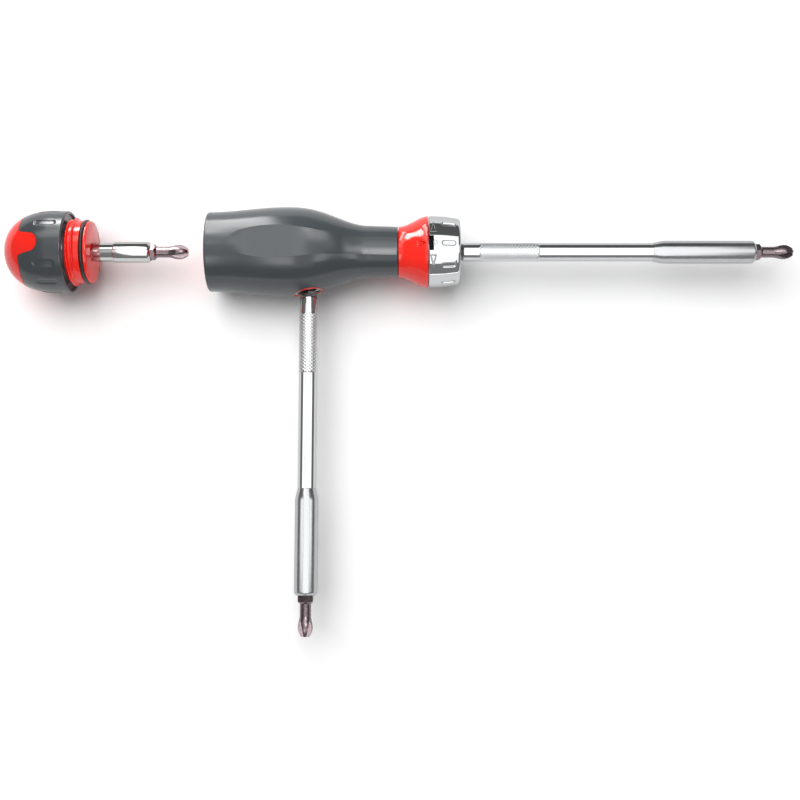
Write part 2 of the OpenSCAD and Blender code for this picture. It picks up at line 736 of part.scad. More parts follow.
module cap_o_ring() {
    color("#161616") on_axis(seal_at - cap_off) rotate_extrude()
        translate([seal_r, 0]) circle(d = seal_w);
}

module cap_socket() {
    color("#b4b8ba") on_axis(-cap_off) difference() {
        rod(cap_socket_r, cap_socket_x0, cap_socket_x1);
        hex(socket_af, cap_hole, cap_socket_x1 + e);
        rod(2.5 + seat_gap, cap_hole - cap_magnet_t - seat_gap, cap_hole + e);
    }
}

module cap_magnet() {
    color("#8d9092") on_axis(-cap_off) rod(2.5, cap_hole - cap_magnet_t, cap_hole - seat_gap);
}

module stub_holder() {
    neck0 = plug_len + stub_hex_len;
    step = neck0 + stub_neck_len;
    color("#b9bcbe") on_axis(-cap_off) difference() {
        union() {
            hex(hex_af, plug_len - stub_shank, neck0 + 0.2);
            rotate_extrude() polygon([[0, neck0], [stub_neck_d / 2 - 0.4, neck0],
                [stub_neck_d / 2, neck0 + 0.4], [stub_neck_d / 2, step], [stub_d / 2 - 0.4, step],
                [stub_d / 2, step + 0.5],
                [stub_d / 2, stub_end - 1], [stub_d / 2 - 0.8, stub_end], [0, stub_end]]);
        }
        rod(3 + seat_gap, stub_end - hex_depth - bit_magnet_t - seat_gap, stub_end - hex_depth + e);
        hex(socket_af, stub_end - hex_depth, stub_end + e);
    }
}

module stub_magnet() {
    color("#8d9092") on_axis(-cap_off) holder_magnet(stub_end);
}

module stub_bit() {
    color("#665a5c") on_axis(stub_end + stub_bit_out - bit_len - cap_off) bit();
}

handle_core();
handle_grip();
side_socket();
side_socket_magnet();
ratchet_housing();
spindle_bush();
thrust_washer();
pawl_pin_forward();
pawl_pin_reverse();
pawl_spring();
detent_spring();
ring_retainer();
selector_ring();
pawl_forward();
pawl_reverse();
ratchet_spindle();
spindle_clip();
spindle_magnet();
front_shaft();
front_holder();
front_magnet();
front_bit();
side_shaft();
side_holder();
side_magnet();
side_bit();
cap_core();
cap_grip();
cap_o_ring();
cap_socket();
cap_magnet();
stub_holder();
stub_magnet();
stub_bit();
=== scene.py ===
"""Ratchet screwdriver with a side drive and a screw-off stubby cap, lying on a white table."""

import math

import bpy
import numpy as np
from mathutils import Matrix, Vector


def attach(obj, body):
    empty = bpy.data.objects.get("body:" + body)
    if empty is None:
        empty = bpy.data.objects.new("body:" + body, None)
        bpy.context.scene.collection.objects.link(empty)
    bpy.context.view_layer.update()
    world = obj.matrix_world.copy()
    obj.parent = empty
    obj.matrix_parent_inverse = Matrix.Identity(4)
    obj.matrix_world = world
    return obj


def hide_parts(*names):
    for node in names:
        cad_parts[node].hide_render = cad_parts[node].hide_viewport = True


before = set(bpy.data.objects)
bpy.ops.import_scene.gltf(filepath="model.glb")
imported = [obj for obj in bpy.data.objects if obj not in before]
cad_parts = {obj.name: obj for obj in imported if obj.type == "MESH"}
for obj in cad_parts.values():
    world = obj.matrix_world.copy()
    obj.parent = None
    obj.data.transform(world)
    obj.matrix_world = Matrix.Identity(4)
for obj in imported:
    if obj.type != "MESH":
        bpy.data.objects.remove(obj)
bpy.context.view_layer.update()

MM = 0.001
TAU = 2 * math.pi


# Sizes in millimetres, as in the part's source, but for STUB_Z0, which starts the stub nearer to the plug

GRIP_LEN = 83.1
MOUTH_R, BELLY_R, NECK_R, NECK_FRONT_R = 17.4, 19.6, 11.5, 11.1
BELLY_X, NECK_X = 34.7, 70.5
SKIN, SKIN_MOUTH, SKIN_X, SKIN_RUN, SEAT = 2.1, 1.0, 7, 16, 0.05
COLLAR_R, COLLAR_LEN, CORE_FRONT = 15.75, 13.1, 96.2
SIDE_X, BOSS_R, SIDE_SOCKET_R, CUP_R = 44.1, 6.4, 5.8, 5.0
SIDE_FLOOR, SIDE_HOLE, SIDE_FACE = 6.2, 8.4, 16.2
RING_X, RING_LEN, RING_R, RING_BORE = 96.5, 13.7, 15.7, 11.9
SHOULDER_X, SIDE_SHOULDER = 110.5, 19.6
HEX_AF, SOCKET_AF = 6.35, 6.45
SHAFT_R, KNURL_R, KNURL_Z, KNURL_LEN, SHAFT_LEN = 4.0, 4.2, 8.6, 25.8, 84.5
HOLDER_R, TAPER, BLADE_LEN = 5.0, 4.4, 129.6
BIT_LEN, HEX_DEPTH, BIT_MAGNET = 25.0, 9.1, 4.0
FRONT_BIT_OUT, SIDE_BIT_OUT, STUB_BIT_OUT = 16.7, 17.2, 16.4
CAP_OFF, CAP_R, CAP_LEN, CAP_SIDE, CAP_SKIN, RIM_LIP = 60.6, 18.0, 28.7, 6.9, 2.0, 1.2
PLUG_LEN, PLUG_R, THREAD_R, THREAD_PITCH = 9.5, 13.75, 15.0, 2.3
SEAL_W, SEAL_R, SEAL_Z = 1.6, 13.4, 7.3
DOME_LEN, LOBE_LEN, LOBE_W = 9.6, 8.9, 4.5
STUB_Z0, STUB_STEP, STUB_END = 9.8, 18.8, 34.9
STUB_NECK_R, STUB_R = 4.1, 4.6

# Half angles of the grip's flats in degrees, and where along the grip they hold
FLAT_WIDE, FLAT_WAIST, FLAT_FRONT, FLAT_LEAST = 21.8, 17.3, 21.4, 4.0
FLAT_WIDE_X, FLAT_WAIST_X, FLAT_REAR_RUN, FLAT_FRONT_RUN = 29, 51, 20.5, 38.1

# More sizes in millimetres, and counts, most of them for surface detail that this script alone draws
BOSS_DROP = 0.8
SHANK_LEN, TANG_R, TANG_LEN, BORE_R = 11, 3.0, 19, 3.05
SHOULDER_DROP, SHOULDER_RUN = 1.2, 2.1
KNURL_RIDGES, KNURL_DEPTH = 18, 0.22
RING_PILLS, RING_PILL_R, RING_PILL_DEPTH = 10, 1.0, 0.55
CAP_PILL_Z, CAP_PILL_HALF, CAP_PILL_R, CAP_PILL_DEPTH = -7.8, 3.2, 1.3, 0.3
THREAD_START, THREAD_TURNS = 0.55, 1.45
BIT_NECK_R, BIT_HEAD_R, BIT_NOSE_Z = 2.4, 3.15, 21.3

# Angles in degrees: the cap's recesses from its top, and the bend between two faces that leaves an edge sharp
CAP_PILL_TURNS = (30, 60, 90, 150, 180, 210, 270, 300, 330)
SHARP = 28


def ease(s):
    """A soft step from 0 to 1."""
    return (1 - np.cos(np.pi * np.clip(s, 0, 1))) / 2


def along(x, *stops):
    """A value that runs smoothly through (x, value) stops."""
    xs, vs = zip(*stops)
    out = np.full(np.shape(x), vs[0], float)
    for k in range(len(xs) - 1):
        out = out + (vs[k + 1] - vs[k]) * ease((x - xs[k]) / (xs[k + 1] - xs[k]))
    return out


def grip_r(x):
    """Radius of the round grip, before its flats."""
    x = np.asarray(x, float)
    rear = MOUTH_R + (BELLY_R - MOUTH_R) * ease(x / BELLY_X)
    run = np.clip((x - BELLY_X) / (NECK_X - BELLY_X), 0, 1) ** 1.25
    front = BELLY_R + (NECK_R - BELLY_R) * ease(run)
    draft = NECK_R + (NECK_FRONT_R - NECK_R) * (x - NECK_X) / (GRIP_LEN - NECK_X)
    return np.where(x < BELLY_X, rear, np.where(x < NECK_X, front, draft))


def core_r(x):
    """Radius of the hard core under the soft skin, which is thinner at the mouth."""
    x = np.asarray(x, float)
    return grip_r(x) - SKIN_MOUTH - (SKIN - SKIN_MOUTH) * ease((x - SKIN_X) / SKIN_RUN)


def flat_half(x):
    """Half angle of the grip's three flats, in degrees."""
    x = np.asarray(x, float)
    rear = FLAT_WIDE * np.sqrt(np.clip(1 - ((FLAT_WIDE_X - x) / FLAT_REAR_RUN) ** 2, 0, 1))
    belly = FLAT_WIDE + (FLAT_WAIST - FLAT_WIDE) * ease((x - FLAT_WIDE_X) / (FLAT_WAIST_X - FLAT_WIDE_X))
    front = FLAT_WAIST + (FLAT_FRONT - FLAT_WAIST) * ease((x - FLAT_WAIST_X) / FLAT_FRONT_RUN)
    return np.where(x < FLAT_WIDE_X, rear, np.where(x < FLAT_WAIST_X, belly, front))


def hex_r(af, phi):
    """Radius of a hexagon of that width across flats, at the angles phi."""
    a = (np.asarray(phi) + math.pi / 6) % (math.pi / 3) - math.pi / 6
    return af / 2 / np.cos(a)


# Colours and finishes


def linear(code):
    """Linear colour of an sRGB hex code."""
    c = [int(code[i:i + 2], 16) / 255 for i in (1, 3, 5)]
    return [v / 12.92 if v <= 0.04045 else ((v + 0.055) / 1.055) ** 2.4 for v in c] + [1.0]


def add(tree, kind, inputs=None, **props):
    """Adds a shader node, sets its properties, and sets or links its inputs."""
    n = tree.nodes.new(kind)
    for key, value in props.items():
        setattr(n, key, value)
    for key, value in (inputs or {}).items():
        if isinstance(value, bpy.types.NodeSocket):
            tree.links.new(value, n.inputs[key])
        else:
            n.inputs[key].default_value = value
    return n


def surface(name, low, high, grain_mm, rough, metal=0.0, ior=None, bump=0.0, bump_mm=None, **more):
    """A finish whose colour and sheen drift over grain_mm, with bumps as high as bump and bump_mm apart."""
    mat = bpy.data.materials.new(name)
    mat.use_nodes = True
    tree = mat.node_tree
    shader = next(n for n in tree.nodes if n.type == "BSDF_PRINCIPLED")
    place = add(tree, "ShaderNodeTexCoord").outputs["Object"]
    drift = add(tree, "ShaderNodeTexNoise", {"Vector": place, "Scale": 1 / (grain_mm * MM), "Detail": 4.0})
    tint = add(tree, "ShaderNodeMix", {"Factor": drift.outputs["Fac"]}, data_type="RGBA")
    tint.inputs[6].default_value = linear(low)
    tint.inputs[7].default_value = linear(high)
    tree.links.new(tint.outputs[2], shader.inputs["Base Color"])
    sheen = add(tree, "ShaderNodeMapRange", {"Value": drift.outputs["Fac"], "From Min": 0.3, "From Max": 0.7,
                                             "To Min": rough[0], "To Max": rough[1]})
    tree.links.new(sheen.outputs["Result"], shader.inputs["Roughness"])
    if bump:
        grain = add(tree, "ShaderNodeTexNoise", {"Vector": place, "Scale": 1 / (bump_mm * MM), "Detail": 2.0})
        height = grain.outputs["Fac"]
        dent = add(tree, "ShaderNodeBump", {"Height": height, "Strength": 1.0, "Distance": bump * MM})
        tree.links.new(dent.outputs["Normal"], shader.inputs["Normal"])
    shader.inputs["Metallic"].default_value = metal
    if ior:
        shader.inputs["IOR"].default_value = ior
    for key, value in more.items():
        shader.inputs[key.replace("_", " ")].default_value = value
    return mat


# Plated metal: its reflection towards the edges is cut to this share, so that they are less white
PLATE = {"metal": 1.0, "Specular_Tint": linear("#E1E1E1")}
# Polypropylene straight from a polished mould: a clear, saturated red with sharp, slightly wavy highlights
RED = surface("polypropylene red, polished mould", "#EC2015", "#F2281C", 30, (0.09, 0.14), ior=1.49,
              bump=0.002, bump_mm=2.5)
# Thermoplastic elastomer moulded over the core: dark blue-grey, with a broad soft sheen
GRIP = surface("TPE soft grip, overmoulded", "#393E41", "#404548", 14, (0.18, 0.23), ior=1.52)
# Bright chrome over polished steel: mirrors the white table and the grey room, and dulls towards its edges
CHROME = surface("Chrome plate, polished", "#C2C4C5", "#C9CBCC", 25, (0.05, 0.08), **PLATE)
# The rolled knurl, plated last: its chrome is paler than the polished plate's, painted sheen so that it reads
# almost white, and its small pyramids scatter the light
KNURL_PAINTED_SHEEN = surface("Chrome plate over rolled knurl, paler for painted sheen", "#CED0D1", "#D6D8D9", 6, (0.2, 0.26), **PLATE)
# Satin nickel on the turned bit holders: greyer and softer than the chrome
SATIN = surface("Nickel plate, satin turned", "#B0B2B3", "#BCBEBF", 10, (0.2, 0.26), **PLATE)
# Bright nickel on the stub holder, polished after turning
NICKEL = surface("Nickel plate, polished", "#BDBEBD", "#C6C7C6", 12, (0.08, 0.12), **PLATE)
# Hidden ratchet steel, milled and ground
STEEL = surface("Tool steel, milled", "#85888A", "#94979A", 3, (0.3, 0.42), metal=1.0,
                bump=0.003, bump_mm=0.25)
# Hardened and tempered bit steel with a brown-mauve oxide bloom
BIT = surface("S2 bit steel, tempered", "#74686B", "#8A7C80", 1.6, (0.22, 0.32), metal=1.0,
              bump=0.002, bump_mm=0.3)
# Oil-filled sintered bronze: dull and finely speckled
BRONZE = surface("Bronze, sintered", "#8A6A3C", "#A98250", 0.6, (0.4, 0.5), metal=1.0,
                 bump=0.004, bump_mm=0.15)
# Nickel-plated magnet
MAGNET = surface("Neodymium, nickel plated", "#9B9EA0", "#A9ACAE", 3, (0.16, 0.24), metal=1.0)
# Near-black matt colour on the floor and walls of the ring's notch: painted shade
NOTCH_SHADE = surface("Notch, black painted shade", "#030303", "#070707", 2, (0.7, 0.8), ior=1.5, Specular_IOR_Level=0.2)
# Nitrile seal, moulded: black with a faint grey sheen
RUBBER = surface("Nitrile rubber, moulded", "#141414", "#1D1D1D", 2, (0.32, 0.42), ior=1.52,
                 bump=0.003, bump_mm=0.2)


# Building pieces from rings of points


def on_axis(x0):
    """Places points drawn along z on the tool's axis, their x on Y and their y on Z."""
    return lambda p: np.stack([x0 + p[..., 2], p[..., 0], p[..., 1]], -1)


def on_side(y0):
    """Places points drawn along z on the side drive, which points along -Y."""
    return lambda p: np.stack([SIDE_X + p[..., 0], -(y0 + p[..., 2]), p[..., 1]], -1)


def rings(r, z, phi):
    """Rings of points from radii and stations, each one value a ring or one a point."""
    shape = (len(r), len(phi))
    r = np.stack([np.broadcast_to(v, shape[1]) for v in r])
    z = np.stack([np.broadcast_to(v, shape[1]) for v in z])
    return np.stack([r * np.cos(phi), r * np.sin(phi), z], -1)


def web(rows, closed=False):
    """Points and quads of a skin through rings: closed joins last to first, else both ends are capped."""
    n, m = rows.shape[:2]
    i = (np.arange(n if closed else n - 1) * m)[:, None]
    j = np.arange(m)[None, :]
    up = (i + m) % (n * m)
    quads = np.stack([i + j, i + (j + 1) % m, up + (j + 1) % m, up + j], -1).reshape(-1, 4).tolist()
    if not closed:
        quads.append(list(range(m - 1, -1, -1)))
        quads.append(list(range((n - 1) * m, n * m)))
    return rows.reshape(-1, 3), quads


def join(*parts):
    """Several (points, faces) as one."""
    points, faces, base = [], [], 0
    for p, f in parts:
        points.append(p)
        faces.extend([[k + base for k in face] for face in f])
        base += len(p)
    return np.concatenate(points), faces


def piece(name, points, faces, finish, sharp=SHARP):
    """A mesh object from points in millimetres, smooth but for edges sharper than the angle."""
    me = bpy.data.meshes.new(name)
    me.from_pydata((np.asarray(points) * MM).tolist(), [], faces)
    me.update()
    me.shade_smooth()
    me.set_sharp_from_angle(angle=math.radians(sharp))
    ob = bpy.data.objects.new(name, me)
    bpy.context.scene.collection.objects.link(ob)
    if finish:
        me.materials.append(finish)
    return ob


def carve(ob, tool, how="DIFFERENCE", sharp=SHARP):
    """Cuts the tool out of a piece, or joins it on, and drops the tool."""
    step = ob.modifiers.new("carve", "BOOLEAN")
    step.operation = how
    step.solver = "EXACT"
    step.object = tool
    seen = ob.evaluated_get(bpy.context.evaluated_depsgraph_get())
    me = bpy.data.meshes.new_from_object(seen)
    ob.modifiers.clear()
    ob.data = me
    me.shade_smooth()
    me.set_sharp_from_angle(angle=math.radians(sharp))
    bpy.data.objects.remove(tool)


def settle(ob, body, slot, *nodes):
    """Hangs a finished piece on its body, in place of its CAD nodes."""
    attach(ob, body)
    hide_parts(*nodes)


def around(count):
    """Evenly spaced angles, once round."""
    return np.arange(count) * TAU / count


def corner(r0, z0, r1, z1, r2, z2, size):
    """Points of a small round on the corner 1 between 0 and 2."""
    p0, p1, p2 = np.array([r0, z0]), np.array([r1, z1]), np.array([r2, z2])
    a = p1 + (p0 - p1) / np.linalg.norm(p0 - p1) * size
    b = p1 + (p2 - p1) / np.linalg.norm(p2 - p1) * size
    t = np.linspace(0, 1, 5)[:, None]
    return ((1 - t) ** 2 * a + 2 * t * (1 - t) * p1 + t ** 2 * b).tolist()


def turned(profile, rounds):
    """A profile of (radius, station) with a round of the given size on each corner, 0 for none."""
    out = []
    for k, (p, size) in enumerate(zip(profile, rounds)):
        if size and 0 < k < len(profile) - 1:
            out += corner(*profile[k - 1], *p, *profile[k + 1], size)
        else:
            out.append(list(p))
    return np.array(out)


# Soft grip: a grid whose columns follow the edges of the three flats


def grip_rows(xs):
    """Angles and radii of the grip's rings, three flats and three ridges to a ring."""
    half = np.maximum(flat_half(xs), FLAT_LEAST)
    # how far the flats swell towards the round: 1 is round, 0 is flat and less is hollow
    bend = along(xs, (8.5, 1.0), (20.0, 0.0), (37.0, 0.0), (49.0, -0.45),
                 (58.0, 0.1), (64.0, 0.5), (84.0, 0.5))
    radius = grip_r(xs)
    on_flat = np.linspace(-1, 1, 25)[:-1]
    on_ridge = np.linspace(0, 1, 49)[:-1]
    rows = []
    for h, c, r in zip(np.radians(half), bend, radius):
        t = on_flat * h
        plane = r * math.cos(h) / np.cos(t)
        ring_a, ring_r = [], []
        for k in range(3):
            mid = k * TAU / 3
            ring_a += [mid + t, mid + h + on_ridge * (TAU / 3 - 2 * h)]
            ring_r += [plane + c * (r - plane), np.full(len(on_ridge), r)]
        rows.append((np.concatenate(ring_a), np.concatenate(ring_r)))
    return rows


def grip_points(loop):
    """Points of rings given as (angles from +Z towards +Y, radii, station)."""
    phi = np.stack([a for a, _, _ in loop])
    r = np.stack([np.broadcast_to(v, phi.shape[1]) for _, v, _ in loop])
    x = np.array([v for _, _, v in loop])[:, None] + 0 * phi
    return np.stack([x, r * np.sin(phi), r * np.cos(phi)], -1)[:, ::-1]


def trim_flush(ob, below=0.0):
    """Cuts a piece of the side drive to the boss's rim, a plane that leans with the slope of the grip."""
    rim = grip_r(SIDE_X) - BOSS_DROP - below
    lean = (grip_r(SIDE_X - BOSS_R) - grip_r(SIDE_X + BOSS_R)) / (2 * BOSS_R)
    phi = around(64)
    reach = 9
    block = rings([reach] * 2, [0, rim - lean * reach * np.cos(phi)], phi)
    carve(ob, piece("rim", *web(on_side(0)(block)), None), "INTERSECT")


def build_grip():
    rear_round, front_round = 0.7, 0.45
    xs = np.concatenate([np.linspace(rear_round, 8, 16)[:-1], np.linspace(8, 30, 70)[:-1],
                         np.linspace(30, GRIP_LEN - 0.5, 130)])
    outer = [(a, r, x) for (a, r), x in zip(grip_rows(xs), xs)]
    a0, r0, _ = outer[0]
    a1, r1, _ = outer[-1]
    start = [(a0, r0 - rear_round * (1 - math.sin(t)), rear_round - rear_round * math.cos(t))
             for t in np.radians([0, 18, 36, 54, 72])]
    end_x = GRIP_LEN - SEAT
    end = [(a1, r1 - front_round * (1 - math.cos(t)), end_x - front_round + front_round * math.sin(t))
           for t in np.radians([22, 45, 68, 90])]
    inner = []
    for k, x in enumerate(np.linspace(end_x, 0, 60)):
        bore = np.full(len(a1), core_r(x) + SEAT)
        inner.append((a1 if k < 30 else a0, bore, x))
    loop = start + outer + end + inner
    ob = piece("soft_grip", *web(grip_points(loop), closed=True), GRIP, sharp=9)
    hole = rings([BOSS_R + SEAT] * 2, [0, 30], around(128))
    carve(ob, piece("hole", *web(on_side(0)(hole)), None), sharp=9)
    settle(ob, "handle", "soft_grip", "handle_grip")


# Hard core: store and bores inside, flared collar in front, boss for the side socket


def build_core():
    under = np.linspace(0, GRIP_LEN, 70)
    flare = np.linspace(GRIP_LEN, CORE_FRONT - 0.5, 40)
    flare_r = NECK_FRONT_R + (COLLAR_R + 0.1 - NECK_FRONT_R) * ease((flare - GRIP_LEN) / (1.07 * COLLAR_LEN))
    skin_side = np.stack([core_r(under), under], -1)
    collar = np.stack([flare_r, flare], -1)[1:]
    lip = corner(flare_r[-2], flare[-2], COLLAR_R - 0.02, CORE_FRONT, 12, CORE_FRONT, 0.45)
    # the stepped bores, from the front face back to the mouth
    bores = [(11.85, CORE_FRONT), (11.85, 90.45), (8.05, 90.45), (8.05, 75.15), (4.02, 75.15),
             (4.02, 53.1), (5.6, 53.1), (5.6, 36.7), (12.95, 36.7), (12.95, 11), (14.25, 11), (14.25, 6),
             (15.3, 6), (15.3, 0.4), (15.7, 0)]
    profile = np.concatenate([skin_side, collar, lip, bores])
    ob = piece("core", *web(on_axis(0)(rings(profile[:, 0], profile[:, 1], around(240))), closed=True), RED)
    boss = piece("boss", *web(on_side(0)(rings([BOSS_R] * 2, [12, BELLY_R + 2], around(128)))), None)
    trim_flush(boss)
    carve(ob, boss, "UNION")
    seat = rings([SIDE_SOCKET_R + SEAT] * 2, [SIDE_FLOOR - SEAT, 30], around(128))
    carve(ob, piece("seat", *web(on_side(0)(seat)), None))
    # the pointer, a triangle with soft corners on the collar's top, drawn by a groove round it
    tri = np.array([[CORE_FRONT - 4.7, -1.35], [CORE_FRONT - 1.2, 0], [CORE_FRONT - 4.7, 1.35]])
    outline = []
    for k in range(3):
        outline += corner(*tri[k - 1], *tri[k], *tri[(k + 1) % 3], 0.35)
    outline = np.array(outline)
    middle = tri.mean(0)
    loops = []
    for size, z in ((1.25, 13.6), (1.25, 18.0), (0.7, 18.0), (0.7, 13.6)):
        loops.append(np.column_stack([middle + size * (outline - middle), np.full(len(outline), z)]))
    cut = np.stack(loops)
    carve(ob, piece("pointer", *web(cut, closed=True), None))
    settle(ob, "handle", "red_plastic", "handle_core")


def build_side_socket():
    phi = around(96)
    hole = hex_r(SOCKET_AF, phi)
    lead = np.maximum(hole, SOCKET_AF / 2 + 0.55)
    top = BELLY_R + 2
    r = [2.5, SIDE_SOCKET_R - 0.3, SIDE_SOCKET_R, SIDE_SOCKET_R, CUP_R, CUP_R, CUP_R - 0.3,
         lead, hole, hole, 2.55, 2.55]
    z = [SIDE_FLOOR, SIDE_FLOOR, SIDE_FLOOR + 0.3, top, top, SIDE_FACE + 0.3, SIDE_FACE,
         SIDE_FACE, SIDE_FACE - 0.5, SIDE_HOLE, SIDE_HOLE, SIDE_HOLE - 1.45]
    ob = piece("side_socket", *web(on_side(0)(rings(r, z, phi))), SATIN)
    trim_flush(ob, 0.15)
    settle(ob, "handle", "satin_steel", "side_socket")


# Selector ring: recesses, notch, arrows and dot pressed into a fine turned skin


def seg_gap(px, py, ax, ay, bx, by):
    """Distance of points from a straight stroke."""
    dx, dy = bx - ax, by - ay
    t = np.clip(((px - ax) * dx + (py - ay) * dy) / (dx * dx + dy * dy), 0, 1)
    return np.hypot(px - ax - t * dx, py - ay - t * dy)


def sunk(gap, depth, soft=0.16):
    """Depth of a recess at a signed distance inside its edge."""
    return depth * ease(0.5 + gap / soft)


def build_ring():
    back = [(RING_BORE, RING_X), (RING_R - 0.35, RING_X)]
    xs = np.linspace(0.35, RING_LEN - 1.5, 112)
    side_r = RING_R - np.clip((xs - 1.5) / (RING_LEN - 3), 0, 1) ** 2
    edge = [(RING_R - 0.1, RING_X + 0.12), (RING_R - 0.02, RING_X + 0.24)]
    front_x = RING_X + RING_LEN
    nose = [(RING_R - 2.2 + 1.2 * math.cos(t), front_x - 1.5 + 1.5 * math.sin(t))
            for t in np.radians(np.arange(7.5, 91, 7.5))]
    front = [(6.9, front_x), (6.49, front_x - 0.4), (6.49, front_x - 1.3), (RING_BORE, front_x - 1.3)]
    profile = np.concatenate([back, edge, np.stack([side_r, RING_X + xs], -1), nose, front])
    phi = around(720)
    r = np.repeat(profile[:, :1], len(phi), 1)
    z = np.repeat(profile[:, 1:], len(phi), 1)
    at_x = z - RING_X
    at = np.degrees((phi - math.pi / 2 + math.pi) % TAU - math.pi)
    outside = (r > 12.6) & (at_x > 0.02)
    arc = np.radians(at)[None, :] * RING_R
    dip = np.zeros_like(r)
    for k in range(RING_PILLS):
        off = (at[None, :] - 360 / RING_PILLS * k + 180) % 360 - 180
        across = np.radians(off) * (RING_R - 0.5)
        gap = RING_PILL_R - seg_gap(at_x, across, RING_LEN - 7.2, 0, RING_LEN - 3.2, 0)
        dip = np.maximum(dip, sunk(gap, RING_PILL_DEPTH, 0.5))
    notch = sunk(np.minimum(3.2 - np.abs(arc), 1.9 - at_x), 1.5)
    dip = np.maximum(dip, notch)
    # an arrow head on each side of the notch, a pit with sloping sides that points away from it
    for s in (-1, 1):
        ahead = s * arc - math.radians(27) * RING_R
        head = np.minimum(1.15 * (2.2 - ahead) / 4.2 - np.abs(at_x - 1.85), ahead + 2.0)
        dip = np.maximum(dip, sunk(head, 0.6, 0.9))
    dot = 0.32 - np.abs(np.hypot(at_x - 2.6, arc) - 0.8)
    dip = np.maximum(dip, sunk(dot, 0.35))
    r = r - np.where(outside, dip, 0)
    points, faces = web(on_axis(0)(rings(r, z, phi)), closed=True)
    ob = piece("selector_ring", points, faces, CHROME, sharp=50)
    # the faces deep in the notch take the near-black colour, painted shade
    ob.data.materials.append(NOTCH_SHADE)
    in_notch = ((notch > 0.3) & outside).reshape(-1)
    ob.data.polygons.foreach_set("material_index", in_notch[np.array(faces)].any(1).astype(np.int32))
    settle(ob, "selector", "chrome", "selector_ring")
    return ob


# Blades: shaft with a rolled diamond knurl, and the bit holder pressed on it


def build_shaft(name, place, body, node):
    phi = around(192)
    shank = hex_r(HEX_AF, phi)
    r = [2.2, np.minimum(shank, 2.9), shank, shank, SHAFT_R - SHOULDER_DROP]
    z = [-SHANK_LEN, -SHANK_LEN, 0.7 - SHANK_LEN, -0.05, 0]
    for t in np.radians(np.arange(0, 91, 11.25)):
        r.append(SHAFT_R - SHOULDER_DROP * (1 - math.sin(t)))
        z.append(0.02 + SHOULDER_RUN * (1 - math.cos(t)))
    r += [SHAFT_R, SHAFT_R, SHAFT_R]
    z += [4.5, KNURL_Z - 0.35, KNURL_Z - 0.2]
    knurl_from = len(r)
    # its ridges run both ways at 45 degrees: a real one has about 21, too fine to show in a picture this size
    knurl_end = KNURL_Z + KNURL_LEN
    lead = TAU / KNURL_RIDGES
    for v in np.linspace(KNURL_Z, knurl_end, 190):
        twist = v / KNURL_R
        one = np.abs(((phi + twist) / lead) % 1 - 0.5) * 2
        two = np.abs(((phi - twist) / lead) % 1 - 0.5) * 2
        fade = float(ease(min(v - KNURL_Z, knurl_end - v) / 0.4))
        r.append(KNURL_R - 0.02 - KNURL_DEPTH * np.maximum(one, two) * (0.35 + 0.65 * fade))
        z.append(v)
    knurl_to = len(r)
    end = SHAFT_LEN
    r += [SHAFT_R, SHAFT_R, SHAFT_R, SHAFT_R, TANG_R, TANG_R]
    z += [knurl_end + 0.2, knurl_end + 0.35, end - 0.2, end, end, end + TANG_LEN]
    points, faces = web(place(rings(r, z, phi)))
    ob = piece(name, points, faces, CHROME, sharp=35)
    # the knurl's faces take the paler chrome, painted sheen
    ob.data.materials.append(KNURL_PAINTED_SHEEN)
    first, last = knurl_from * len(phi), (knurl_to - 1) * len(phi)
    slots = np.zeros(len(faces), np.int32)
    slots[first:last] = 1
    ob.data.polygons.foreach_set("material_index", slots)
    settle(ob, body, "chrome", node)
    return ob


def build_holder(name, place, body, node):
    phi = around(144)
    hole = hex_r(SOCKET_AF, phi)
    line = [(BORE_R, SHAFT_LEN + SEAT), (SHAFT_R, SHAFT_LEN + SEAT), (HOLDER_R, SHAFT_LEN + TAPER),
            (HOLDER_R, BLADE_LEN - 1), (HOLDER_R - 0.9, BLADE_LEN), (3.9, BLADE_LEN)]
    outer = turned(line, [0, 0.1, 1.2, 0.35, 0.2, 0])
    r = list(outer[:, 0]) + [hole + 0.1, hole, hole, BORE_R, BORE_R]
    floor = BLADE_LEN - HEX_DEPTH
    z = list(outer[:, 1]) + [BLADE_LEN, BLADE_LEN - 0.15, floor, floor, floor - BIT_MAGNET]
    tang_hole = SHAFT_LEN + TANG_LEN + 0.3
    r += [0.5, 0.5, BORE_R]
    z += [floor - BIT_MAGNET - 0.05, tang_hole, tang_hole]
    ob = piece(name, *web(place(rings(r, z, phi)), closed=True), SATIN)
    settle(ob, body, "satin_steel", node)
    return ob


# Cross-head bits: one skin over hex, neck, head and the four ground flutes


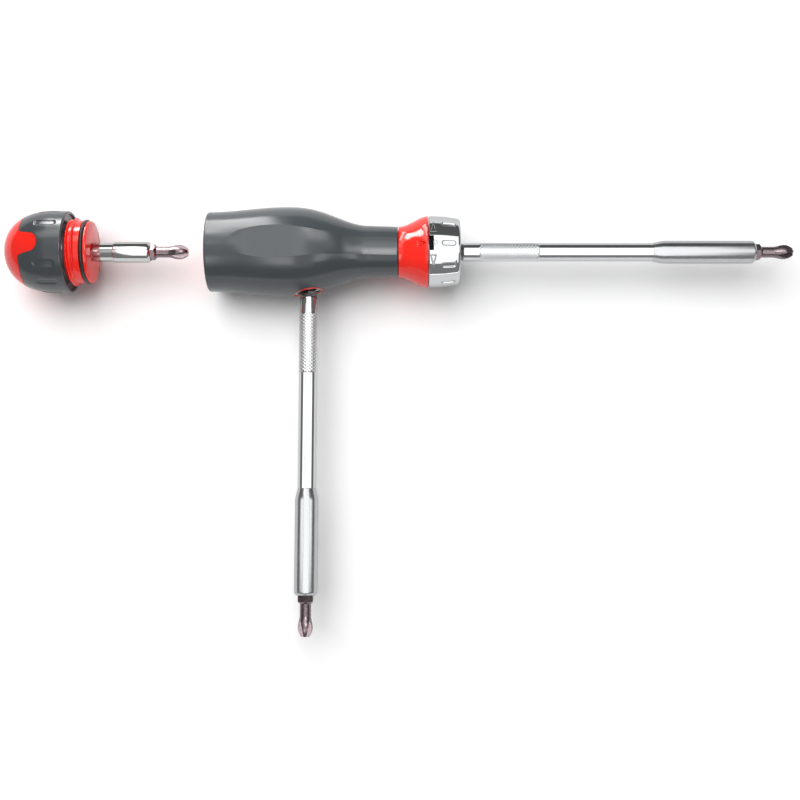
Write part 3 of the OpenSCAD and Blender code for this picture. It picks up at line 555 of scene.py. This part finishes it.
def build_bit(name, place, body, node):
    phi = around(192)
    z = np.concatenate([[0, 0.25, 0.5, 0.8], np.linspace(1.5, 9.6, 10), np.linspace(9.9, 11.6, 18),
                        np.linspace(11.8, 16, 10), np.linspace(16.1, 22.4, 90),
                        np.linspace(22.45, BIT_LEN, 44)])
    corner_r = HEX_AF / math.sqrt(3)
    wide = 9
    bevel = np.minimum(corner_r - 0.7 + z, wide)
    cone = np.where(z > 10.2, corner_r - (z - 10.2) * 1.14, wide)
    neck = along(z, (16.2, BIT_NECK_R), (20.9, BIT_HEAD_R))
    nose = BIT_HEAD_R - 1.5 * np.clip((z - BIT_NOSE_Z) / (BIT_LEN - BIT_NOSE_Z), 0, 1) ** 1.9
    fold = np.abs(phi % (math.pi / 2) - math.pi / 4)
    # each flute is a right-angled groove that leans in towards the point
    lean = 0.75 + (BIT_LEN - z) * math.tan(math.radians(15))
    mouth = np.cos(fold)[None, :] - np.sin(fold)[None, :]
    least, none = 0.02, 99
    groove = np.where(mouth > least, lean[:, None] / np.maximum(mouth, least), none)
    groove = np.where((z > 13)[:, None], groove, none)
    shank = np.minimum(hex_r(HEX_AF, phi)[None, :], np.minimum(bevel, np.maximum(cone, BIT_NECK_R))[:, None])
    head = np.minimum(np.minimum(neck, nose)[:, None], groove)
    r = np.where((z > 11.3)[:, None], head, shank)
    r = np.maximum(r, 0.35)
    ob = piece(name, *web(place(rings(r, z, phi))), BIT, sharp=24)
    settle(ob, body, "bit_steel", node)


# Cap: domed red core with three lobes, soft overmould round it, screw plug with its seal


def cap_out(t):
    """Outer radius of the cap at a distance t from its apex."""
    t = np.asarray(t, float)
    dome_h = CAP_LEN - CAP_SIDE
    inside = np.clip(1 - np.clip(1 - t / dome_h, 0, 1) ** 2.15, 0, 1)
    return np.where(t < dome_h, CAP_R * inside ** (1 / 2.3), CAP_R - 0.15 * (t - dome_h) / CAP_SIDE)


def lobe_line(phi):
    """Distance from the apex to the edge of the red, at angles from the top."""
    t = np.full(phi.shape, DOME_LEN)
    off = (phi + math.pi / 3) % (TAU / 3) - math.pi / 3
    for _ in range(30):
        across = cap_out(t) * np.sin(off)
        share = np.abs(across) / LOBE_W
        finger = LOBE_LEN - LOBE_W * (1 - np.sqrt(1 - np.minimum(share, 1) ** 2))
        t = 0.5 * t + 0.5 * (DOME_LEN + finger * (1 - ease((share - 0.8) / 0.5)))
    return t


# angles round the cap from its top, closer together along the sides of the lobes
THIRD = np.concatenate([np.linspace(a, b, n, endpoint=False) for a, b, n in (
    (-60, -25, 30), (-25, -11, 50), (-11, 11, 24), (11, 25, 50), (25, 60, 30))])
CAP_TOP = np.radians(np.concatenate([THIRD, THIRD + 120, THIRD + 240]))
CAP_PHI = CAP_TOP + math.pi / 2


def build_cap_core():
    line = lobe_line(CAP_TOP)
    r, z = [], []
    for s in np.linspace(0.035, 1, 64) ** 1.5:
        t = s * (line - 0.12)
        r.append(cap_out(t))
        z.append(t - CAP_LEN)
    # the edge rolls in under the soft skin
    for d, drop in ((0.04, 0.1), (0.07, 0.25), (0.07, CAP_SKIN - 0.05)):
        t = line - 0.12 + d
        r.append(cap_out(t) - drop)
        z.append(t - CAP_LEN)
    for t in np.linspace(0, 1, 24)[1:]:
        s = line + t * (CAP_LEN - RIM_LIP - line)
        r.append(cap_out(s) - CAP_SKIN)
        z.append(s - CAP_LEN)
    r += [PLUG_R - 1.2, PLUG_R - 1.2, PLUG_R - 0.12, PLUG_R, PLUG_R]
    z += [-RIM_LIP, 0.1, 0.1, 0.22, 6.35]
    groove = SEAL_R - SEAL_W / 2 - SEAT
    r += [PLUG_R - 0.1, groove, groove, PLUG_R - 0.35, PLUG_R - 0.25, PLUG_R - 0.25, PLUG_R - 0.38,
          PLUG_R - 0.65, 6.0]
    z += [6.4, 6.4, 8.2, 8.2, 8.3, PLUG_LEN - 0.4, PLUG_LEN - 0.12, PLUG_LEN, PLUG_LEN]
    # a hex hole in the lip, and the pocket of the steel insert behind it
    hole = hex_r(SOCKET_AF, CAP_PHI)
    r += [hole, hole, 5.05, 5.05]
    z += [PLUG_LEN, PLUG_LEN - 0.75, PLUG_LEN - 0.75, -5.55]
    shell = web(on_axis(-CAP_OFF)(rings(r, z, CAP_PHI)))
    # the thread, a rounded ridge that winds up the plug and runs out at both ends
    n = 240
    step = np.arange(n + 1)
    a = TAU * THREAD_TURNS * step / n
    rise = THREAD_START + THREAD_PITCH * THREAD_TURNS * step / n
    tall = (THREAD_R - PLUG_R) * np.minimum(1, 0.2 + 5 * np.minimum(step, n - step) / n)
    crest = np.array([[0, -0.85], [0.35, -0.62], [0.8, -0.36], [0.95, -0.22], [1, 0],
                      [0.95, 0.22], [0.8, 0.36], [0.35, 0.62], [0, 0.85]])
    root = 0.3
    rad = PLUG_R - root + crest[:, 0] * (root + tall[:, None])
    high = rise[:, None] + crest[:, 1]
    coil = np.stack([rad * np.cos(a)[:, None], rad * np.sin(a)[:, None], high], -1)
    thread = web(on_axis(-CAP_OFF)(coil[:, ::-1]))
    ob = piece("cap_core", *join(shell, thread), RED, sharp=40)
    settle(ob, "cap", "red_plastic", "cap_core")
    return ob


def build_cap_grip():
    line = lobe_line(CAP_TOP)
    r, z = [], []
    r.append(cap_out(line) - CAP_SKIN + 0.1)
    z.append(line + 0.02 - CAP_LEN)
    for d, drop in ((0.02, 0.3), (0.05, 0.12), (0.14, 0.03)):
        r.append(cap_out(line + d) - drop)
        z.append(line + d - CAP_LEN)
    for s in np.linspace(0, 1, 130):
        t = line + 0.24 + s * (CAP_LEN - 0.75 - line - 0.24)
        dip = np.zeros(len(CAP_PHI))
        for turn in CAP_PILL_TURNS:
            off = (np.degrees(CAP_TOP) - turn + 180) % 360 - 180
            across = np.radians(off) * CAP_R
            ends = CAP_PILL_Z - CAP_PILL_HALF, 0, CAP_PILL_Z + CAP_PILL_HALF, 0
            gap = CAP_PILL_R - seg_gap(t - CAP_LEN, across, *ends)
            dip = np.maximum(dip, sunk(gap, CAP_PILL_DEPTH, 1.0))
        r.append(cap_out(t) - dip)
        z.append(t - CAP_LEN)
    for a in np.radians([20, 45, 70, 90]):
        r.append(cap_out(CAP_LEN) - 0.6 * (1 - math.cos(a)))
        z.append(-0.75 + 0.7 * math.sin(a))
    # the lip turns in over the front edge, and its hollow face ends in a groove round the root of the plug
    r += [16.9, 16.6, 16.4, PLUG_R - 0.3, PLUG_R - 0.6, PLUG_R - 0.6, PLUG_R - 1.1, PLUG_R - 1.1]
    z += [-0.05, -0.25, -0.9, -1.3, -1.0, 0.08, 0.08, 0.05 - RIM_LIP]
    r += [cap_out(CAP_LEN) - CAP_SKIN + 0.05, cap_out(CAP_LEN - 4) - CAP_SKIN + 0.05]
    z += [0.05 - RIM_LIP, -4]
    for t in np.linspace(1, 0, 20)[1:]:
        s = line + 0.4 + t * (CAP_LEN - 4 - line - 0.4)
        r.append(cap_out(s) - CAP_SKIN + 0.05)
        z.append(s - CAP_LEN)
    ob = piece("cap_grip", *web(on_axis(-CAP_OFF)(rings(r, z, CAP_PHI)), closed=True), GRIP, sharp=50)
    settle(ob, "cap", "soft_grip", "cap_grip")
    return ob


def build_seal():
    t = around(28)
    r = SEAL_R + SEAL_W / 2 * np.cos(t)
    z = SEAL_Z + SEAL_W / 2 * np.sin(t)
    ob = piece("seal_ring", *web(on_axis(-CAP_OFF)(rings(r, z, around(192))), closed=True), RUBBER, sharp=60)
    settle(ob, "cap_seal", "seal_rubber", "cap_o_ring")
    return ob


def build_stub():
    phi = around(144)
    shank, hole = hex_r(HEX_AF, phi), hex_r(SOCKET_AF, phi)
    line = [(3.5, STUB_Z0), (STUB_NECK_R, STUB_Z0), (STUB_NECK_R, STUB_STEP), (STUB_R, STUB_STEP),
            (STUB_R, STUB_END - 1), (STUB_R - 0.8, STUB_END), (3.75, STUB_END)]
    body = turned(line, [0, 0.4, 0.1, 0.45, 0.3, 0.15, 0])
    r = [2.0, shank - 0.3, shank, shank] + list(body[:, 0]) + [hole + 0.1, hole, hole, BORE_R, BORE_R]
    floor = STUB_END - HEX_DEPTH
    z = [-2.5, -2.5, -2.1, STUB_Z0] + list(body[:, 1])
    z += [STUB_END, STUB_END - 0.15, floor, floor, floor - BIT_MAGNET - 0.05]
    points, faces = web(on_axis(-CAP_OFF)(rings(r, z, phi)))
    ob = piece("stub_holder", points, faces, NICKEL)
    # the shank is left satin
    ob.data.materials.append(SATIN)
    slots = np.zeros(len(faces), np.int32)
    slots[:3 * len(phi)] = 1
    ob.data.polygons.foreach_set("material_index", slots)
    settle(ob, "stub", "satin_steel", "stub_holder")
    return ob


build_grip()
build_core()
build_side_socket()
CAP = [build_cap_core(), build_cap_grip(), build_seal()]
build_bit("front_bit", on_axis(SHOULDER_X + BLADE_LEN + FRONT_BIT_OUT - BIT_LEN), "front_bit", "front_bit")
build_bit("side_bit", on_side(SIDE_SHOULDER + BLADE_LEN + SIDE_BIT_OUT - BIT_LEN), "side_bit", "side_bit")
build_bit("stub_bit", on_axis(STUB_END + STUB_BIT_OUT - BIT_LEN - CAP_OFF), "stub_bit", "stub_bit")
PLATED = [build_ring(),
          build_shaft("front_shaft", on_axis(SHOULDER_X), "front_blade", "front_shaft"),
          build_holder("front_holder", on_axis(SHOULDER_X), "front_blade", "front_holder"),
          build_shaft("side_shaft", on_side(SIDE_SHOULDER), "side_blade", "side_shaft"),
          build_holder("side_holder", on_side(SIDE_SHOULDER), "side_blade", "side_holder"),
          build_stub()]

# the pieces inside the tool keep their drawn shape and take their metal's finish
INSIDE = {STEEL: ["ratchet_housing", "thrust_washer", "pawl_pin_forward", "pawl_pin_reverse", "pawl_spring",
                  "detent_spring", "ring_retainer", "pawl_forward", "pawl_reverse", "ratchet_spindle",
                  "spindle_clip"],
          BRONZE: ["spindle_bush"],
          SATIN: ["cap_socket"],
          MAGNET: ["side_socket_magnet", "spindle_magnet", "front_magnet", "side_magnet", "cap_magnet",
                   "stub_magnet"]}
for finish, names in INSIDE.items():
    for name in names:
        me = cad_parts[name].data
        me.materials.clear()
        me.materials.append(finish)


# Table, light and camera

FLOOR_Z, TABLE_HALF, TABLE_LIFT = -19.7 * MM, 4, 0.27
table_finish = bpy.data.materials.new("Table, white matt laminate")
table_finish.use_nodes = True
tt = table_finish.node_tree
tt.nodes.clear()
matt = add(tt, "ShaderNodeBsdfDiffuse", {"Color": linear("#EDEDED")})
# where it is looked at, straight or in a mirror, the laminate is paler, so that the open table reads white
ray = add(tt, "ShaderNodeLightPath").outputs
seen = add(tt, "ShaderNodeMath", {0: ray["Is Camera Ray"], 1: ray["Is Glossy Ray"]}, operation="MAXIMUM")
seen = add(tt, "ShaderNodeMath", {0: seen.outputs["Value"], 1: ray["Is Transmission Ray"]},
           operation="MAXIMUM")
lift = add(tt, "ShaderNodeMath", {0: seen.outputs["Value"], 1: TABLE_LIFT}, operation="MULTIPLY")
pale = add(tt, "ShaderNodeBsdfDiffuse", {"Color": lift.outputs["Value"]})
both = add(tt, "ShaderNodeAddShader", {0: matt.outputs["BSDF"], 1: pale.outputs["BSDF"]})
add(tt, "ShaderNodeOutputMaterial", {"Surface": both.outputs["Shader"]})
table_me = bpy.data.meshes.new("table")
corners = [(TABLE_HALF * x, TABLE_HALF * y, FLOOR_Z) for x, y in ((-1, -1), (1, -1), (1, 1), (-1, 1))]
table_me.from_pydata(corners, [], [(0, 1, 2, 3)])
table_me.materials.append(table_finish)
table = bpy.data.objects.new("table", table_me)
bpy.context.scene.collection.objects.link(table)


def softbox(name, at, aim, width, height, watts):
    """A rectangular studio light at a point, turned to another."""
    light = bpy.data.lights.new(name, "AREA")
    light.shape = "RECTANGLE"
    light.size, light.size_y = width, height
    light.energy = watts
    ob = bpy.data.objects.new(name, light)
    ob.location = at
    ob.rotation_euler = (Vector(aim) - Vector(at)).to_track_quat("-Z", "Y").to_euler()
    bpy.context.scene.collection.objects.link(ob)
    return ob


world = bpy.data.worlds.new("studio")
bpy.context.scene.world = world
world.use_nodes = True
wt = world.node_tree
back = next(n for n in wt.nodes if n.type == "BACKGROUND")
way = add(wt, "ShaderNodeSeparateXYZ", {"Vector": add(wt, "ShaderNodeTexCoord").outputs["Generated"]})
# grey room: the far wall is darker than the near one
walls = add(wt, "ShaderNodeMapRange", {"Value": way.outputs["Y"], "From Min": -0.8, "From Max": 0.8,
                                       "To Min": 0.3, "To Max": 0.14})
wt.links.new(walls.outputs["Result"], back.inputs["Color"])
back.inputs["Strength"].default_value = 1.0


def link(lamps, pieces, name, state="EXCLUDE"):
    """Keeps lamps off some pieces, as a black flag on a stand would, or on them alone."""
    held = bpy.data.collections.new(name)
    for ob in pieces:
        held.objects.link(ob)
    for entry in held.collection_objects:
        entry.light_linking.link_state = state
    for lamp in lamps:
        lamp.light_linking.receiver_collection = held


# a key from the upper left, a white sheet over the tool and a strip at its lower side
key = softbox("key", (-0.4, 0.7, 0.9), (0.05, 0, 0), 0.45, 0.4, 1.4)
sheet = softbox("sheet", (0.1, -0.16, 0.8), (0.1, -0.16, 0), 0.9, 1.96, 4.4)
strip = softbox("strip", (0.03, -0.7, 0.0), (0.03, 0, 0.0), 1.2, 0.02, 0.22)
# the plated steel has a brighter sheet of its own, with a wing on either side, which it shows as a white band
bright = [softbox("bright sheet", (0.1, -0.16, 0.8), (0.1, -0.16, 0), 0.9, 1.7, 8.7),
          softbox("left wing", (-0.8, -0.03, 0.82), (-0.8, -0.03, 0), 0.8, 0.45, 2.0),
          softbox("right wing", (1.0, -0.03, 0.82), (1.0, -0.03, 0), 0.8, 0.45, 2.0)]
# small bright cards for the plastics
cards = [softbox("flat card", (0.015, 0.23, 0.78), (0.015, 0.23, 0), 0.47, 0.26, 0.57),
         softbox("neck card", (0.14, 0.02, 0.76), (0.14, 0.02, 0), 0.2, 0.18, 0.9),
         softbox("spot card", (0.39, 0.1, 0.76), (0.39, 0.1, 0), 0.28, 0.16, 0.57),
         softbox("belly card", (-0.08, -0.58, 0.74), (-0.08, -0.58, 0), 0.25, 0.42, 0.88),
         softbox("boss card", (0.58, -0.47, 0.74), (0.58, -0.47, 0), 0.25, 0.42, 0.97)]
window = softbox("window", (-0.19, 0.77, 0.45), (0.02, 0, 0.45), 0.16, 0.88, 4.2)
collar_key = softbox("collar key", (-0.42, 0.61, 0.32), (0.09, 0, 0.3), 0.24, 0.38, 5.5)
plug_card = softbox("plug card", (-0.29, 0.78, 0.2), (-0.055, 0, 0.05), 0.14, 0.2, 1.3)
# the table's own light comes from the upper left, so that the shadow falls to the lower right
table_key = softbox("table key", (-0.45, 0.6, 1.95), (0.05, -0.06, 0), 2.2, 2.2, 50)
link([key, strip], [table], "table, behind a flag")
link([sheet, window] + cards, [table] + PLATED, "table and plated steel, behind a flag")
link([collar_key], [table] + PLATED + CAP, "table, plated steel and cap, behind a flag")
link(bright, PLATED, "plated steel, under its own sheet", "INCLUDE")
link([table_key], [table], "table, under its own light", "INCLUDE")
link([plug_card], CAP, "cap, with its own card", "INCLUDE")

cam = bpy.data.cameras.new("camera")
cam.lens, cam.sensor_width = 52.4, 36
cam_ob = bpy.data.objects.new("camera", cam)
cam_ob.location = (0.084, -0.1359, 0.499)
cam_ob.rotation_euler = (math.radians(8), 0, 0)
bpy.context.scene.collection.objects.link(cam_ob)
bpy.context.scene.camera = cam_ob
bpy.context.scene.view_settings.view_transform = "Standard"
